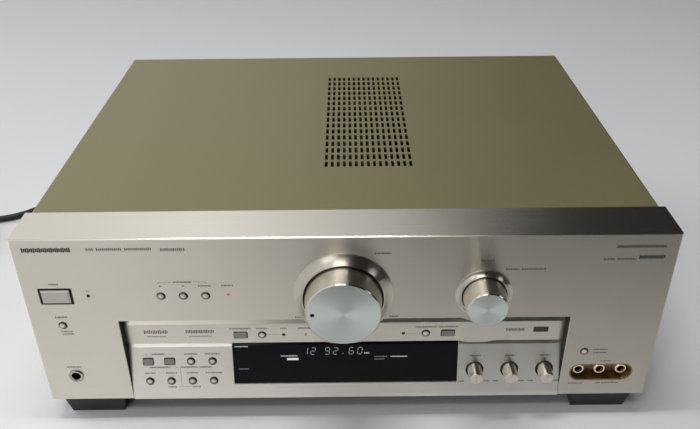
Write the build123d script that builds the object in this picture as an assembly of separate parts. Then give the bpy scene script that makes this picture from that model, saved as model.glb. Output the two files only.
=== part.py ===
"""Stereo receiver: a steel case with an aluminium fascia, its controls, and what it holds inside.

Every length is in millimetres. X runs to the right seen from the front, Y from front to back, Z up from
the surface that the receiver stands on. Depths are written as distances back from the fascia's front
face, and save() shifts them so that the origin is under the middle of the case.
"""
import math
import os

from build123d import *

os.makedirs("parts", exist_ok=True)

# Case
WIDTH = 430.0
TOP = 158.0
FASCIA_BOTTOM = 19.0
FASCIA_DEPTH = 33.5
COVER_WIDTH = 423.5
COVER_TOP = TOP - 0.5
COVER_REAR = 331.0
SHEET = 1.2
TRAY_HALF = 209.0
TRAY_Z = 20.0
TRAY_FRONT = 31.0
REAR_Y = 327.8
POST_REACH = 16.0
KNOB_REACH = 21.5
DEPTH = KNOB_REACH + REAR_Y + SHEET + POST_REACH
FACE_Y = KNOB_REACH - DEPTH / 2
FIT = 0.3

# Fascia and the sloping centre that fills the notch in it
FASCIA_WALL = 4.0
RETURN_WALL = 2.5
EDGE_BEVEL = 0.8
CENTRE_X = -1.3
NOTCH_HALF = 154.0
NOTCH_TOP = 91.5
JAMB_DEPTH = 14.0
STRIP_Y = 8.0
STRIP_BOTTOM = 64.5
STRIP_TOP = 81.3
STRIP_WALL = 3.0
STRIP_BEVEL = (2.0, 3.0)
DIP_RADIUS = 49.2
LOWER_FOOT_Z = 22.0
LOWER_HEAD = (8.2, 61.0)
LOWER_SLOPE = LOWER_HEAD[0] / (LOWER_HEAD[1] - LOWER_FOOT_Z)
LOWER_WALL = 3.1
LOWER_TOP = 63.8
LOWER_BEVEL = 1.9
WINDOW_HALF = 80.3
WINDOW_BOTTOM = 30.8
WINDOW_SINK = 0.8
WINDOW_WALL = 2.0

# Knobs: axes, the fascia's lobes under them, rings and knobs
KNOB_Z = 112.0
VOLUME_X = -2.0
SELECTOR_X = 91.5
VOLUME_LOBE, SELECTOR_LOBE, LOBE_BLEND = 34.2, 24.2, 4.5
RING_RADIUS = 33.3
RING_BORE = 26.9
RING_PROUD = 5.5
SELECTOR_RING_RADIUS = 18.9
SELECTOR_RING_BORE = 15.2
SELECTOR_RING_PROUD = 3.2
KNOB_RADIUS, KNOB_FACE_RADIUS = 26.0, 24.5
KNOB_DOT = 20.0
SELECTOR_RADIUS, SELECTOR_FACE_RADIUS = 14.6, 13.4
SELECTOR_REACH = 18.5
RING_SLEEVE = 1.8
SHAFT_RADIUS = 3.0
SHAFT_END = 18.0
SHAFT_PLAY = 0.06
TONE_X = (91.4, 116.3, 141.4)
TONE_Z = 40.6
TONE_RADIUS = 5.3
TONE_REACH = 10.0

# Buttons
CAP_RADIUS = 2.6
CAP_GAP = 0.5
CAP_PROUD = 0.7
TRAVEL = 1.0
SWITCH_Y = 17.0
BOARD_Y = 20.0
BOARD_WALL = 1.6
BOARD_Z = 30.0
POWER_X, POWER_Z = -192.9, 112.9
POWER_CAP = (19.0, 10.4)
POWER_HOLE = (22.4, 13.4)
POWER_PROUD = 1.3
POWER_TRAVEL = 2.5
KEY = (7.0, 5.1)
WIDE_KEY = (9.0, 5.2)

# Sockets
PHONES_X, PHONES_Z = -192.9, 42.5
PHONES_BORE = 3.25
PHONES_DEPTH = 15.0
DISH = (45.4, 15.7)
DISH_X, DISH_Z = 181.0, 40.7
DISH_DEPTH = 7.0
DISH_WALL = 1.0
JACK_PITCH = 15.2
JACK_RADIUS = 4.15
JACK_HOLE = 1.7
JACK_SUNK = 3.2

# Feet and vents
FOOT = (48.0, 60.0)
FOOT_X = 186.3
FOOT_Y = (37.0, 297.0)
FOOT_LEAD = 3.5
FOOT_TOP = 18.6
FOOT_TAPER = 14.0
VENT_X, VENT_Y = 17.3, 186.5
VENT_COLUMNS, VENT_ROWS = 15, 16
VENT_PITCH = (4.51, 11.45)
VENT_SLOT = (2.3, 8.4)

# Rear panel
POST_X = (112.0, 131.0, 150.0, 169.0)
POST_Z = 104.0
POST_PLATE = (42.0, 38.0)
POST_RADIUS = 2.0
POST_CAP_RADIUS = 6.6
BANK_X = (-128.0, -64.0, 0.0)
BANK_COLUMNS, BANK_ROWS = 4, 3
BANK_PITCH = (14.0, 26.0)
BANK_Z = 84.0
AERIAL_X, AERIAL_Z = 74.0, 51.0

# Mains lead: a stretch that lies as it fell, and the rest of its 1.8 m wound up
CORD_X, CORD_Z = -178.0, 44.0
CORD_RADIUS = 3.25
CORD_REST = CORD_RADIUS + 0.15
BUSH_REACH = 26.0
COIL_X, COIL_Y = -408.0, 230.75
COIL_MEAN = 37.5
COIL_TURNS_WIDE, COIL_LAYERS = 3, 2
COIL_TURNS = COIL_TURNS_WIDE * COIL_LAYERS
PLUG_RELIEF, PLUG_BODY, PLUG_PIN = 38.0, 34.0, 19.0
PLUG_WIDTH, PLUG_HEIGHT = 30.0, 18.6
PIN_PITCH, PIN_RADIUS = 19.0, 2.4


def block(x0, x1, y0, y1, z0, z1):
    """A box between two corners."""
    return Pos((x0 + x1) / 2, (y0 + y1) / 2, (z0 + z1) / 2) * Box(x1 - x0, y1 - y0, z1 - z0)


def rod(x, z, radius, y0, y1):
    """A cylinder along Y."""
    return Pos(x, (y0 + y1) / 2, z) * Rot(90, 0, 0) * Cylinder(radius, y1 - y0)


def upright(x, y, radius, z0, z1):
    """A cylinder along Z."""
    return Pos(x, y, (z0 + z1) / 2) * Cylinder(radius, z1 - z0)


def sheet(outline, y0, y1):
    """A flat outline in X and Z, given a thickness from y0 to y1."""
    return Pos(0, y1, 0) * Rot(90, 0, 0) * extrude(outline, y1 - y0)


def turned(x, z, profile):
    """A solid of revolution about an axis along Y. The profile is (radius, y) points."""
    return Pos(x, 0, z) * revolve(make_face(Polyline(*profile, close=True)), Axis.Y)


def bar_along_x(x0, x1, profile):
    """A constant section along X. The profile is (y, z) points."""
    return extrude(Plane.YZ.offset(x0) * make_face(Polyline(*profile, close=True)), x1 - x0)


def joined(first, *others):
    """One solid from several that touch or overlap."""
    for other in others:
        first = first + other
    return first


def save(name, *solids):
    """Writes one node, shifted into the part's own frame."""
    placed = [Pos(0, FACE_Y, 0) * solid for solid in solids]
    node = placed[0] if len(placed) == 1 else Compound(children=placed)
    export_step(node, f"parts/{name}.step")


def fascia_face(z):
    """Depth of the fascia's front face."""
    return 0.0


def strip_face(z):
    """Depth of the control strip's front face."""
    return STRIP_Y


def lower_face(z):
    """Depth of the sloping lower fascia at height z."""
    return (z - LOWER_FOOT_Z) * LOWER_SLOPE


WALLS = {fascia_face: FASCIA_WALL, strip_face: STRIP_WALL + 2.0, lower_face: LOWER_WALL}
ROW_PITCH = 15.3
UPPER_ROW_Z, LOWER_ROW_Z, STRIP_ROW_Z = 49.6, 34.0, 71.5
ROW_X = -142.0

# Each push button: x, z, None for a round cap or (width, height) for a key, and the face it comes through
BUTTONS = {
    "timer_button": (-193.2, 88.3, None, fascia_face),
    "speaker_a_button": (-123.2, 112.4, None, fascia_face),
    "speaker_b_button": (-108.3, 112.4, None, fascia_face),
    "bi_wire_button": (-93.4, 112.4, None, fascia_face),
    "front_input_button": (166.3, 60.3, None, fascia_face),
    "record_input_button": (CENTRE_X - 73.2, STRIP_ROW_Z, WIDE_KEY, strip_face),
    "surround_button": (CENTRE_X - 58.1, STRIP_ROW_Z, None, strip_face),
    "tape_monitor_button": (CENTRE_X + 56.8, STRIP_ROW_Z, None, strip_face),
    "digital_input_button": (CENTRE_X + 72.2, STRIP_ROW_Z, WIDE_KEY, strip_face),
    "tuning_down_button": (ROW_X, UPPER_ROW_Z, KEY, lower_face),
    "tuning_up_button": (ROW_X + ROW_PITCH, UPPER_ROW_Z, KEY, lower_face),
    "preset_button": (ROW_X + 2 * ROW_PITCH, UPPER_ROW_Z, None, lower_face),
    "memory_button": (ROW_X + 3 * ROW_PITCH, UPPER_ROW_Z, None, lower_face),
    "band_button": (ROW_X, LOWER_ROW_Z, None, lower_face),
    "fm_mode_button": (ROW_X + ROW_PITCH, LOWER_ROW_Z, None, lower_face),
    "display_button": (ROW_X + 2 * ROW_PITCH, LOWER_ROW_Z, None, lower_face),
    "scan_button": (ROW_X + 3 * ROW_PITCH, LOWER_ROW_Z, None, lower_face),
}

# Indicator lamps: x, z, radius and the face
LAMPS = (
    (-171.4, 113.2, 1.2, fascia_face),
    (-78.5, 113.2, 0.9, fascia_face),
    (CENTRE_X - 43.0, STRIP_ROW_Z, 1.2, strip_face),
    (CENTRE_X - 27.5, STRIP_ROW_Z, 1.0, strip_face),
    (CENTRE_X + 41.0, STRIP_ROW_Z, 1.2, strip_face),
)


def cap_outline(size, grow=0.0):
    """A button cap's outline, made larger all round by grow."""
    if size is None:
        return Circle(CAP_RADIUS + grow)
    return RectangleRounded(size[0] + 2 * grow, size[1] + 2 * grow, 0.5 + grow)


def button_holes(face):
    """What the buttons and lamps of one face cut out of it."""
    cutters = []
    for x, z, size, own_face in BUTTONS.values():
        if own_face is face:
            cutters.append(sheet(Pos(x, z) * cap_outline(size, CAP_GAP), -5, BOARD_Y))
    for x, z, radius, own_face in LAMPS:
        if own_face is face:
            cutters.append(rod(x, z, radius + 0.1, -5, BOARD_Y))
    return cutters


def cut(solid, cutters):
    """The solid less every cutter."""
    for cutter in cutters:
        solid = solid - cutter
    return solid


def front_panel():
    """The aluminium fascia: a front plate with returns along its top and ends, and a notch for the centre."""
    half = WIDTH / 2
    shell = block(-half, half, 0, FASCIA_DEPTH, FASCIA_BOTTOM, TOP)
    shell = chamfer(shell.edges().group_by(Axis.Y)[0], EDGE_BEVEL)
    inner = half - RETURN_WALL
    shell -= block(-inner, inner, FASCIA_WALL, FASCIA_DEPTH + 1, FASCIA_BOTTOM - 1, TOP - RETURN_WALL)
    left, right = CENTRE_X - NOTCH_HALF, CENTRE_X + NOTCH_HALF
    for x0, x1 in ((left - 2, left), (right, right + 2)):
        shell += block(x0, x1, FASCIA_WALL - 1, JAMB_DEPTH, FASCIA_BOTTOM, NOTCH_TOP + 2)
    height = NOTCH_TOP - FASCIA_BOTTOM + 2
    notch = Pos(CENTRE_X, NOTCH_TOP - height / 2) * Rectangle(2 * NOTCH_HALF, height)
    notch -= Pos(VOLUME_X, KNOB_Z) * Circle(VOLUME_LOBE)
    notch -= Pos(SELECTOR_X, KNOB_Z) * Circle(SELECTOR_LOBE)
    cusps = [v for v in notch.vertices() if abs(v.Y - NOTCH_TOP) < 0.1 and abs(v.X - CENTRE_X) < NOTCH_HALF - 1]
    notch = fillet(cusps, LOBE_BLEND)
    shell -= sheet(notch, -1, FASCIA_WALL + 0.01)
    holes = [
        rod(VOLUME_X, KNOB_Z, RING_BORE + RING_SLEEVE + 0.2, -1, FASCIA_WALL + 1),
        rod(SELECTOR_X, KNOB_Z, SELECTOR_RING_BORE + RING_SLEEVE + 0.2, -1, FASCIA_WALL + 1),
        sheet(Pos(POWER_X, POWER_Z) * RectangleRounded(*POWER_HOLE, 0.6), -1, FASCIA_WALL + 1),
        rod(PHONES_X, PHONES_Z, 4.7, -1, FASCIA_WALL + 1),
        sheet(Pos(DISH_X, DISH_Z) * SlotOverall(*DISH), -1, FASCIA_WALL + 1),
    ]
    return cut(shell, holes + button_holes(fascia_face))


def control_strip():
    """The upright strip at the top of the recess, bevelled on top and dipping under each knob."""
    x0, x1 = CENTRE_X - NOTCH_HALF + FIT, CENTRE_X + NOTCH_HALF - FIT
    back = STRIP_Y + STRIP_WALL
    bevel_depth, bevel_height = STRIP_BEVEL
    profile = (
        (STRIP_Y, STRIP_BOTTOM),
        (STRIP_Y, STRIP_TOP),
        (STRIP_Y + bevel_depth, STRIP_TOP + bevel_height),
        (back, STRIP_TOP + bevel_height),
        (back, NOTCH_TOP + 4),
        (back + 2, NOTCH_TOP + 4),
        (back + 2, STRIP_BOTTOM),
    )
    strip = bar_along_x(x0, x1, profile)
    below = block(x0, x1, -1, 99, 0, STRIP_BOTTOM + 0.5)
    for x in (VOLUME_X, SELECTOR_X):
        strip += rod(x, KNOB_Z, DIP_RADIUS, STRIP_Y, STRIP_Y + 1.5) & below
    return cut(strip, button_holes(strip_face))


def lower_profile(sink, wall, bottom):
    """The sloping section of the lower fascia, sunk by some depth and of some wall."""
    foot = lower_face(bottom) + sink
    head_y, head_z = LOWER_HEAD[0] + sink, LOWER_HEAD[1]
    return (
        (foot, bottom),
        (head_y, head_z),
        (head_y + LOWER_BEVEL, LOWER_TOP),
        (head_y + LOWER_BEVEL + wall - 1, LOWER_TOP),
        (head_y + wall - 2 * LOWER_SLOPE, head_z - 2),
        (foot + wall, bottom),
    )


def lower_fascia():
    """The sloping lower part of the centre, flush with the fascia at its foot, with the window cut in it."""
    x0, x1 = CENTRE_X - NOTCH_HALF + FIT, CENTRE_X + NOTCH_HALF - FIT
    slope = bar_along_x(x0, x1, lower_profile(0, LOWER_WALL, LOWER_FOOT_Z))
    foot = block(x0, x1, 0, LOWER_WALL, FASCIA_BOTTOM, LOWER_FOOT_Z)
    half = WINDOW_HALF
    window = block(CENTRE_X - half, CENTRE_X + half, -5, BOARD_Y, WINDOW_BOTTOM, LOWER_TOP + 5)
    wells = [rod(x, TONE_Z, TONE_RADIUS + 1.2, -5, BOARD_Y) for x in TONE_X]
    return cut(slope + foot, [window] + wells + button_holes(lower_face))


def display_window():
    """The dark acrylic window, parallel to the slope and sunk a little."""
    half = WINDOW_HALF - 0.2
    profile = lower_profile(WINDOW_SINK, WINDOW_WALL, WINDOW_BOTTOM + 0.2)
    return bar_along_x(CENTRE_X - half, CENTRE_X + half, profile)


def ring(x, outer, bore, proud):
    """A knob's trim ring: a dished cone that stands proud, with a sleeve into the fascia."""
    steps = 6
    rim = (outer, -1.0)
    lip = (bore + 0.6, -proud)
    dish = []
    for i in range(steps + 1):
        t = i / steps
        sag = 0.5 * math.sin(math.pi * t)
        dish.append((rim[0] + (lip[0] - rim[0]) * t, rim[1] + (lip[1] - rim[1]) * t + sag))
    sleeve = bore + RING_SLEEVE
    profile = [(outer, 0), *dish, (bore, -proud), (bore, 3), (sleeve, 3), (sleeve, 0)]
    return turned(x, KNOB_Z, profile)


def selector_ring():
    """The selector's trim ring, with a drilled dot at the top."""
    whole = ring(SELECTOR_X, SELECTOR_RING_RADIUS, SELECTOR_RING_BORE, SELECTOR_RING_PROUD)
    return whole - rod(SELECTOR_X, KNOB_Z + 17.2, 0.8, -SELECTOR_RING_PROUD, -0.6)


def knob(x, z, radius, face_radius, front, back):
    """A turned knob with a bevelled front edge, hollow behind, moulded on the shaft that it turns."""
    wall = 2.2
    profile = [
        (0, front),
        (face_radius - 0.7, front),
        (face_radius, front + 0.7),
        (radius, back - 3),
        (radius, back),
        (radius - wall, back),
        (face_radius - wall, front + 3),
        (SHAFT_RADIUS + 2, front + 3),
        (SHAFT_RADIUS + 2, back - 1),
        (SHAFT_RADIUS, back - 1),
        (SHAFT_RADIUS, SHAFT_END),
        (0, SHAFT_END),
    ]
    return turned(x, z, profile)


def volume_knob():
    """The large knob, with a drilled dot to show where it points."""
    solid = knob(VOLUME_X, KNOB_Z, KNOB_RADIUS, KNOB_FACE_RADIUS, -KNOB_REACH, 1.5)
    return solid - rod(VOLUME_X - KNOB_DOT, KNOB_Z, 1.4, -KNOB_REACH - 1, -KNOB_REACH + 1.2)


def selector_knob():
    """The smaller knob, which turns without limit."""
    return knob(SELECTOR_X, KNOB_Z, SELECTOR_RADIUS, SELECTOR_FACE_RADIUS, -SELECTOR_REACH, 1.5)


def tone_knob(x):
    """A small knob and its shaft, which stand out of a well in the slope."""
    front = lower_face(TONE_Z) - TONE_REACH
    solid = turned(x, TONE_Z, [
        (0, front),
        (4.3, front),
        (4.7, front + 0.4),
        (TONE_RADIUS, lower_face(TONE_Z) + 1),
        (TONE_RADIUS, 9),
        (2, 9),
        (2, SHAFT_END),
        (0, SHAFT_END),
    ])
    return solid - block(x - 0.3, x + 0.3, front - 1, front + 0.4, TONE_Z + 1.2, TONE_Z + 6)


def push_button(x, z, size, face):
    """A cap with a flange that keeps it in behind its panel, and a stem that reaches its switch."""
    level = face(z)
    tallest = (size[1] / 2 if size else CAP_RADIUS) + 1
    behind = max(level, face(z + tallest)) + WALLS[face] + FIT
    cap = sheet(Pos(x, z) * cap_outline(size), level - CAP_PROUD, behind)
    cap = fillet(cap.edges().group_by(Axis.Y)[0], 0.4)
    flange = sheet(Pos(x, z) * cap_outline(size, 0.9), behind, behind + 0.8)
    stem = rod(x, z, 1.4, behind + 0.8, SWITCH_Y - TRAVEL - FIT)
    return joined(cap, flange, stem)


def power_button():
    """The wide power key."""
    cap = sheet(Pos(POWER_X, POWER_Z) * Rectangle(*POWER_CAP), -POWER_PROUD, 6)
    cap = chamfer(cap.edges().group_by(Axis.Y)[0], 0.9)
    rim = Pos(POWER_X, POWER_Z) * Rectangle(POWER_CAP[0] + 2.6, POWER_CAP[1] + 2.6)
    return joined(cap, sheet(rim, 5.6, 6.4), rod(POWER_X, POWER_Z, 3, 6.4, SWITCH_Y - POWER_TRAVEL - FIT))


def power_bezel():
    """The black frame that lines the power key's opening, with a flange behind the fascia."""
    outer = Pos(POWER_X, POWER_Z) * RectangleRounded(POWER_HOLE[0] - 0.2, POWER_HOLE[1] - 0.2, 0.5)
    flange = Pos(POWER_X, POWER_Z) * Rectangle(POWER_HOLE[0] + 4, POWER_HOLE[1] + 4)
    inner = Pos(POWER_X, POWER_Z) * RectangleRounded(POWER_CAP[0] + 1.0, POWER_CAP[1] + 1.0, 0.8)
    body = sheet(outer, 0.3, FASCIA_WALL) + sheet(flange, FASCIA_WALL, FASCIA_WALL + 1.2)
    return body - sheet(inner, -1, 9)


def headphone_jack():
    """The 6.35 mm socket: a turned nose through the fascia on a moulded body."""
    nose = turned(PHONES_X, PHONES_Z, [
        (PHONES_BORE, -0.6),
        (4.9, -1.1),
        (5.4, -0.6),
        (5.4, 0),
        (4.5, 0),
        (4.5, 6),
        (PHONES_BORE, 6),
    ])
    body = block(PHONES_X - 7, PHONES_X + 7, 5, 19, PHONES_Z - 6, PHONES_Z + 6)
    return (nose + body) - rod(PHONES_X, PHONES_Z, PHONES_BORE, 4, PHONES_DEPTH - 0.6)


def jack_dish():
    """The long tray that the three front sockets stand in."""
    lined = (DISH[0] - 0.2, DISH[1] - 0.2)
    outer = sheet(Pos(DISH_X, DISH_Z) * SlotOverall(*lined), 0.1, DISH_DEPTH + DISH_WALL)
    outer += sheet(Pos(DISH_X, DISH_Z) * SlotOverall(DISH[0] + 4, DISH[1] + 4), FASCIA_WALL, FASCIA_WALL + 1)
    inner = SlotOverall(lined[0] - 2 * DISH_WALL, lined[1] - 2 * DISH_WALL)
    outer -= sheet(Pos(DISH_X, DISH_Z) * inner, -1, DISH_DEPTH)
    return cut(outer, [rod(x, DISH_Z, JACK_RADIUS + 0.15, 0, 12) for x in front_jack_x()])


def front_jack_x():
    """Where the three front sockets are, along X."""
    return [DISH_X + step * JACK_PITCH for step in (-1, 0, 1)]


def phono_jack(x, z, mouth, seat, back):
    """A phono socket: a turned shell with a bored middle, on a moulded body between seat and back."""
    shell = turned(x, z, [
        (JACK_HOLE, mouth + 1.2),
        (JACK_HOLE + 1.1, mouth + 1.2),
        (JACK_HOLE + 1.1, mouth),
        (JACK_RADIUS - 0.4, mouth),
        (JACK_RADIUS, mouth + 0.4),
        (JACK_RADIUS, seat),
        (JACK_HOLE, seat),
    ])
    return shell + block(x - 5, x + 5, seat, back, z - 6, z + 6)


def front_jacks():
    """The three sockets in the dish."""
    seat = DISH_DEPTH + DISH_WALL + 0.1
    return [phono_jack(x, DISH_Z, JACK_SUNK, seat, 19) for x in front_jack_x()]


def indicator_lamps():
    """Five light pipes that show through the fascia and the strip."""
    return [rod(x, z, radius, face(z) - 0.15, SWITCH_Y) for x, z, radius, face in LAMPS]


def front_board():
    """The printed board behind all the controls."""
    return block(-206, 206, BOARD_Y, BOARD_Y + BOARD_WALL, 24, 150)


def tact_switches():
    """One small switch for each push button, and a larger one for the power key."""
    switches = [
        block(x - 3, x + 3, SWITCH_Y, BOARD_Y, z - 3, z + 3) for x, z, size, face in BUTTONS.values()
    ]
    switches.append(block(POWER_X - 6, POWER_X + 6, SWITCH_Y, BOARD_Y, POWER_Z - 6, POWER_Z + 6))
    return switches


def control_pots():
    """The bodies that the five shafts turn in."""
    pots = []
    for x, half, bush in ((VOLUME_X, 12.0, 4.5), (SELECTOR_X, 7.0, 4.0)):
        body = block(x - half, x + half, 11, BOARD_Y, KNOB_Z - half, KNOB_Z + half)
        body += rod(x, KNOB_Z, bush, 5, 11)
        pots.append(body - rod(x, KNOB_Z, SHAFT_RADIUS + SHAFT_PLAY, 4, SHAFT_END + FIT))
    for x in TONE_X:
        body = block(x - 5.5, x + 5.5, 12, BOARD_Y, TONE_Z - 6, TONE_Z + 6) + rod(x, TONE_Z, 3.2, 9.5, 12)
        pots.append(body - rod(x, TONE_Z, 2 + SHAFT_PLAY, 9, SHAFT_END + FIT))
    return pots


def display_tube():
    """The fluorescent display behind the window."""
    return block(CENTRE_X - 68, CENTRE_X + 68, 14.5, BOARD_Y, 34, 60)


def front_frame():
    """The moulded frame that ties the fascia to the case, with a floor that closes it underneath."""
    half = WIDTH / 2 - RETURN_WALL - FIT
    low, high = FASCIA_BOTTOM + 0.6, TOP - RETURN_WALL - FIT
    frame = block(-half, half, 22.5, TRAY_FRONT - FIT, low, high)
    frame -= block(-half + 4, half - 4, 20, 40, low + 4, high - 5)
    for x in (-120, 60, 150):
        frame += block(x - 2, x + 2, 22.5, TRAY_FRONT - FIT, low, high)
    floor = block(-half, half, JAMB_DEPTH + FIT, 22.6, low, low + 1.8)
    notch_half = NOTCH_HALF - FIT
    floor += block(CENTRE_X - notch_half, CENTRE_X + notch_half, LOWER_WALL + FIT, 22.6, low, low + 1.8)
    return frame + floor


def chassis_tray():
    """The folded steel base: a floor, low sides and a full-height front wall."""
    rear = REAR_Y - FIT
    parts = [
        block(-TRAY_HALF, TRAY_HALF, TRAY_FRONT, rear, TRAY_Z, TRAY_Z + SHEET),
        block(-TRAY_HALF, TRAY_HALF, TRAY_FRONT, TRAY_FRONT + SHEET, TRAY_Z, 150),
        block(-TRAY_HALF, -TRAY_HALF + SHEET, TRAY_FRONT, rear, TRAY_Z, TRAY_Z + 26),
        block(TRAY_HALF - SHEET, TRAY_HALF, TRAY_FRONT, rear, TRAY_Z, TRAY_Z + 26),
    ]
    slots = []
    for row in range(9):
        y = 110 + row * 14
        for column in (-1, 0, 1):
            x = VENT_X + column * 40
            slots.append(block(x - 15, x + 15, y, y + 4, TRAY_Z - 1, TRAY_Z + 3))
    posts = [upright(x, y, 3.5, TRAY_Z, BOARD_Z) for x in (-88, 50, 195) for y in (54, 304)]
    return cut(joined(*parts, *posts), slots + screw_holes())


def top_cover():
    """The folded steel cover: top, two sides and a rear lip, with the field of vent slots."""
    half, front = COVER_WIDTH / 2, FASCIA_DEPTH + 0.2
    cover = block(-half, half, front, COVER_REAR, TRAY_Z + 0.5, COVER_TOP)
    long_edges = cover.edges().filter_by(Axis.Y).group_by(Axis.Z)[-1]
    cover = fillet(long_edges, 1.6)
    inner = half - SHEET
    cover -= block(-inner, inner, front - 1, COVER_REAR - SHEET, TRAY_Z - 1, COVER_TOP - SHEET)
    cover -= block(-inner + 3, inner - 3, COVER_REAR - 5, COVER_REAR + 1, TRAY_Z - 1, COVER_TOP - 12)
    places = GridLocations(*VENT_PITCH, VENT_COLUMNS, VENT_ROWS)
    slots = Sketch() + [Pos(VENT_X, VENT_Y) * place * Rectangle(*VENT_SLOT) for place in places]
    cover -= Pos(0, 0, COVER_TOP - 3) * extrude(slots, 6)
    return cut(cover, screw_holes())


def foot(x, y):
    """A tapered block of a foot with a boss that meets the tray, and a recess for its screw."""
    outline = Plane((x, y - FOOT_LEAD, FOOT_TOP), z_dir=(0, 0, -1)) * RectangleRounded(*FOOT, 4)
    body = extrude(outline, FOOT_TOP, taper=FOOT_TAPER) + upright(x, y, 6, FOOT_TOP - 1, TRAY_Z)
    return body - upright(x, y, 3, -1, TRAY_Z + 1) - upright(x, y, 5, -1, 12)


def feet():
    """Four of them."""
    return [foot(side * FOOT_X, y) for side in (-1, 1) for y in FOOT_Y]


def bank_places(centre_x):
    """Where one bank's sockets are."""
    return [
        (centre_x + (column - 1.5) * BANK_PITCH[0], BANK_Z + (row - 1) * BANK_PITCH[1])
        for column in range(BANK_COLUMNS)
        for row in range(BANK_ROWS)
    ]


def rear_jacks():
    """Three banks of phono sockets, each on one moulding."""
    outside = REAR_Y + SHEET
    banks = []
    for x in BANK_X:
        bank = block(x - 28, x + 28, REAR_Y - 14, REAR_Y - 0.1, BANK_Z - 34, BANK_Z + 34)
        for jack_x, jack_z in bank_places(x):
            bank += rod(jack_x, jack_z, 5.2, REAR_Y - 1, outside + 0.8)
            bank += rod(jack_x, jack_z, JACK_RADIUS, REAR_Y - 1, outside + 8.5)
            bank -= rod(jack_x, jack_z, JACK_HOLE, REAR_Y - 1, outside + 9)
        banks.append(bank)
    return banks


def speaker_terminals():
    """The moulded plate with four fixed posts for the speaker wires."""
    outside = REAR_Y + SHEET
    middle = (POST_X[0] + POST_X[-1]) / 2
    wide, narrow = POST_PLATE
    plate = block(middle - wide, middle + wide, outside, outside + 2, POST_Z - 14, POST_Z + 14)
    plate += block(middle - narrow, middle + narrow, REAR_Y - 10, outside, POST_Z - 10, POST_Z + 10)
    for x in POST_X:
        plate += rod(x, POST_Z, 5.5, outside, outside + 3.5)
        plate += rod(x, POST_Z, POST_RADIUS, outside, outside + POST_REACH - 3)
    return plate


def post_cap(x):
    """A fluted screw cap on its post, with a bore for a plug at the outer end."""
    near, far = REAR_Y + SHEET + 5.0, REAR_Y + SHEET + POST_REACH
    cap = rod(x, POST_Z, POST_CAP_RADIUS, near, far)
    cap = chamfer(cap.edges().group_by(Axis.Y)[-1], 0.7)
    for i in range(12):
        turn = 2 * math.pi * i / 12
        flute_x = x + (POST_CAP_RADIUS + 0.5) * math.cos(turn)
        flute_z = POST_Z + (POST_CAP_RADIUS + 0.5) * math.sin(turn)
        cap -= rod(flute_x, flute_z, 1.0, near + 1.5, far + 1)
    return cap - rod(x, POST_Z, POST_RADIUS + SHAFT_PLAY, near - 1, far + 1)


def rear_panel():
    """The steel rear panel with its cut-outs."""
    outside = REAR_Y + SHEET
    panel = block(-TRAY_HALF, TRAY_HALF, REAR_Y, outside, TRAY_Z, COVER_TOP - SHEET - FIT)
    cutters = [rod(x, z, 5.4, REAR_Y - 1, outside + 1) for bank in BANK_X for x, z in bank_places(bank)]
    middle = (POST_X[0] + POST_X[-1]) / 2
    half = POST_PLATE[1] + 0.2
    cutters.append(block(middle - half, middle + half, REAR_Y - 1, outside + 1, POST_Z - 10.2, POST_Z + 10.2))
    cutters.append(rod(AERIAL_X, AERIAL_Z, 4.9, REAR_Y - 1, outside + 1))
    cutters.append(rod(CORD_X, CORD_Z, 7.0, REAR_Y - 1, outside + 1))
    for row in range(7):
        z = 40 + row * 7
        cutters.append(block(96, 186, REAR_Y - 1, outside + 1, z, z + 3))
    return cut(panel, cutters + screw_holes())


def main_board():
    """The amplifier board on the floor of the case."""
    return block(-96, 203, 46, 312, BOARD_Z, BOARD_Z + BOARD_WALL)


def heat_sink():
    """A finned aluminium sink under the vent slots."""
    x0, x1, y0, y1 = VENT_X - 30, VENT_X + 30, 98, 276
    sink = block(x0, x1, y0, y1, 34, 40)
    fins = 12
    for i in range(fins):
        x = x0 + (x1 - x0 - 2) * i / (fins - 1)
        sink += block(x, x + 2, y0, y1, 39, 126)
    return sink


def power_transistors():
    """Six output transistors clamped beside the sink."""
    x = VENT_X + 30.1
    return [block(x, x + 5, 112 + 25 * i, 128 + 25 * i, 48, 69) for i in range(6)]


def power_transformer():
    """The mains transformer: a laminated core on its bracket, with a winding round the middle leg."""
    core = block(-190, -112, 70, 136, 32, 96)
    for x in (-174, -138):
        core -= block(x, x + 10, 60, 150, 46, 82)
    bracket = block(-198, -104, 76, 130, TRAY_Z + SHEET, 32)
    winding = block(-173, -129, 58, 148, 47, 81)
    return joined(core, bracket, winding)


def reservoir_capacitors():
    """The two large smoothing capacitors."""
    cans = [upright(x, 82, 15, BOARD_Z + BOARD_WALL, 86) for x in (-74, -38)]
    return [fillet(can.edges().group_by(Axis.Z)[-1], 1.5) for can in cans]


def tuner_module():
    """The screened tuner, with the coaxial aerial socket that shows through the rear panel."""
    outside = REAR_Y + SHEET
    low = BOARD_Z + BOARD_WALL
    x0, x1 = AERIAL_X - 19, AERIAL_X + 19
    can = block(x0, x1, 232, 318, low + 8, low + 30) - block(x0 + 1, x1 - 1, 233, 317, low + 9, low + 29)
    for y in (240, 300):
        can += block(x0 + 2, x1 - 2, y, y + 4, low, low + 8.5)
    nose = block(AERIAL_X - 8, AERIAL_X + 8, 317.5, REAR_Y - 0.1, AERIAL_Z - 8, AERIAL_Z + 8)
    sleeve = rod(AERIAL_X, AERIAL_Z, 4.7, REAR_Y - 1, outside + 10)
    sleeve -= rod(AERIAL_X, AERIAL_Z, 3.9, outside, outside + 11)
    return joined(can, nose, sleeve, rod(AERIAL_X, AERIAL_Z, 1.2, outside - 1, outside + 8.5))


TURN_Z_TO = {"x": Rot(0, 90, 0), "-x": Rot(0, -90, 0), "y": Rot(-90, 0, 0)}


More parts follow.
